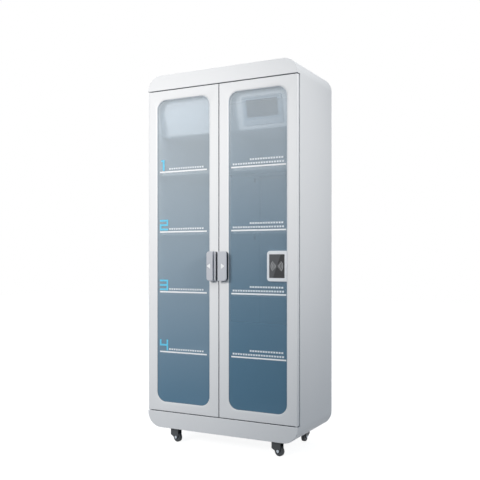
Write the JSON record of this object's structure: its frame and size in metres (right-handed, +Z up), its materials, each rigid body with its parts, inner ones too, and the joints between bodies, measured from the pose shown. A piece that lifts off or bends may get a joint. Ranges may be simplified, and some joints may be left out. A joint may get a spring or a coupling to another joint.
{
  "type": "two-door reagent storage cabinet",
  "caption": "Tall free-standing reagent cabinet with hinged glass doors, shelves in two compartments, a filtered fan hood with a display, a card reader and swivel casters.",
  "frame": {"origin": "on the floor under the middle of the whole cabinet, measured over the handles and the power inlet", "axes": "+Z up, +X to the viewer's right when facing the doors, +Y from the doors to the back"},
  "size_m": [0.85, 0.48, 1.9],
  "materials": {
    "shell_white": "satin powder coat",
    "grille_grey": "satin",
    "liner_grey": "satin",
    "shelf_white": "satin",
    "door_inner_white": "satin",
    "hood_white": "satin",
    "filter_black": "matt",
    "fan_black": "matt",
    "display_grey": "satin",
    "screen_glass": "gloss",
    "inlet_black": "matt",
    "zinc_steel": "zinc plated",
    "lock_aluminium": "anodised",
    "caster_steel": "satin black",
    "reader_white": "gloss",
    "reader_black": "gloss",
    "pane_glass": "clear, faint blue-grey tint",
    "gasket_grey": "matt",
    "bush_white": "matt",
    "handle_grey": "satin silver",
    "handle_black": "matt",
    "caster_tread": "matt"
  },
  "bodies": {
    "cabinet": {"back_panel": "shell_white", "base_cover": "shell_white", "carbon_filter": "filter_black", "case_screws": "zinc_steel", "caster_plates": "caster_steel", "centre_divider": "liner_grey", "display_cover": "display_grey", "display_screen": "screen_glass", "door_locks": "lock_aluminium", "exhaust_grille": "grille_grey", "fan_housing": "fan_black", "hood_cover": "hood_white", "liner_back": "liner_grey", "liner_ceiling": "liner_grey", "liner_floor": "liner_grey", "liner_wall_left": "liner_grey", "liner_wall_right": "liner_grey", "pivot_pins": "zinc_steel", "power_inlet": "inlet_black", "shelf_1_left": "shelf_white", "shelf_1_right": "shelf_white", "shelf_2_left": "shelf_white", "shelf_2_right": "shelf_white", "shelf_3_left": "shelf_white", "shelf_3_right": "shelf_white", "shelf_4_left": "shelf_white", "shelf_4_right": "shelf_white", "shelf_clips": "zinc_steel", "side_panel_left": "shell_white", "side_panel_right": "shell_white", "top_cover": "shell_white"},
    "door_left": {"door_pan_left": "door_inner_white", "door_pane_left": "pane_glass", "door_seal_left": "gasket_grey", "door_skin_left": "shell_white", "handle_base_left": "handle_black", "handle_plate_left": "handle_grey", "pane_gasket_left": "gasket_grey", "pivot_bushes_left": "bush_white", "strike_plate_left": "zinc_steel"},
    "door_right": {"door_pan_right": "door_inner_white", "door_pane_right": "pane_glass", "door_seal_right": "gasket_grey", "door_skin_right": "shell_white", "handle_base_right": "handle_black", "handle_plate_right": "handle_grey", "pane_gasket_right": "gasket_grey", "pivot_bushes_right": "bush_white", "reader_housing": "reader_white", "reader_window": "reader_black", "strike_plate_right": "zinc_steel"},
    "fan": {"fan_rotor": "fan_black"},
    "caster_front_left": {"caster_fork_front_left": "caster_steel"},
    "wheel_front_left": {"caster_wheel_front_left": "caster_tread"},
    "caster_front_right": {"caster_fork_front_right": "caster_steel"},
    "wheel_front_right": {"caster_wheel_front_right": "caster_tread"},
    "caster_rear_left": {"caster_fork_rear_left": "caster_steel"},
    "wheel_rear_left": {"caster_wheel_rear_left": "caster_tread"},
    "caster_rear_right": {"caster_fork_rear_right": "caster_steel"},
    "wheel_rear_right": {"caster_wheel_rear_right": "caster_tread"}
  },
  "joints": [
    {"name": "door_left_swing", "type": "hinge", "parent": "cabinet", "child": "door_left", "pos_m": [-0.4125, -0.2005, 0.99], "axis": [0, 0, -1], "range_deg": [0, 110]},
    {"name": "door_right_swing", "type": "hinge", "parent": "cabinet", "child": "door_right", "pos_m": [0.4125, -0.2005, 0.99], "axis": [0, 0, 1], "range_deg": [0, 110]},
    {"name": "fan_spin", "type": "hinge", "parent": "cabinet", "child": "fan", "pos_m": [-0.2, 0.2, 1.6975], "axis": [0, 1, 0], "continuous": true},
    {"name": "caster_front_left_swivel", "type": "hinge", "parent": "cabinet", "child": "caster_front_left", "pos_m": [-0.29, -0.163, 0.068], "axis": [0, 0, 1], "continuous": true},
    {"name": "wheel_front_left_roll", "type": "hinge", "parent": "caster_front_left", "child": "wheel_front_left", "pos_m": [-0.26875, -0.16869, 0.025], "axis": [-0.2588, -0.9659, 0], "continuous": true},
    {"name": "caster_front_right_swivel", "type": "hinge", "parent": "cabinet", "child": "caster_front_right", "pos_m": [0.29, -0.163, 0.068], "axis": [0, 0, 1], "continuous": true},
    {"name": "wheel_front_right_roll", "type": "hinge", "parent": "caster_front_right", "child": "wheel_front_right", "pos_m": [0.31125, -0.16869, 0.025], "axis": [-0.2588, -0.9659, 0], "continuous": true},
    {"name": "caster_rear_left_swivel", "type": "hinge", "parent": "cabinet", "child": "caster_rear_left", "pos_m": [-0.31, 0.167, 0.068], "axis": [0, 0, 1], "continuous": true},
    {"name": "wheel_rear_left_roll", "type": "hinge", "parent": "caster_rear_left", "child": "wheel_rear_left", "pos_m": [-0.33125, 0.17269, 0.025], "axis": [0.2588, 0.9659, 0], "continuous": true},
    {"name": "caster_rear_right_swivel", "type": "hinge", "parent": "cabinet", "child": "caster_rear_right", "pos_m": [0.31, 0.167, 0.068], "axis": [0, 0, 1], "continuous": true},
    {"name": "wheel_rear_right_roll", "type": "hinge", "parent": "caster_rear_right", "child": "wheel_rear_right", "pos_m": [0.31, 0.145, 0.025], "axis": [-1, 0, 0], "continuous": true}
  ]
}
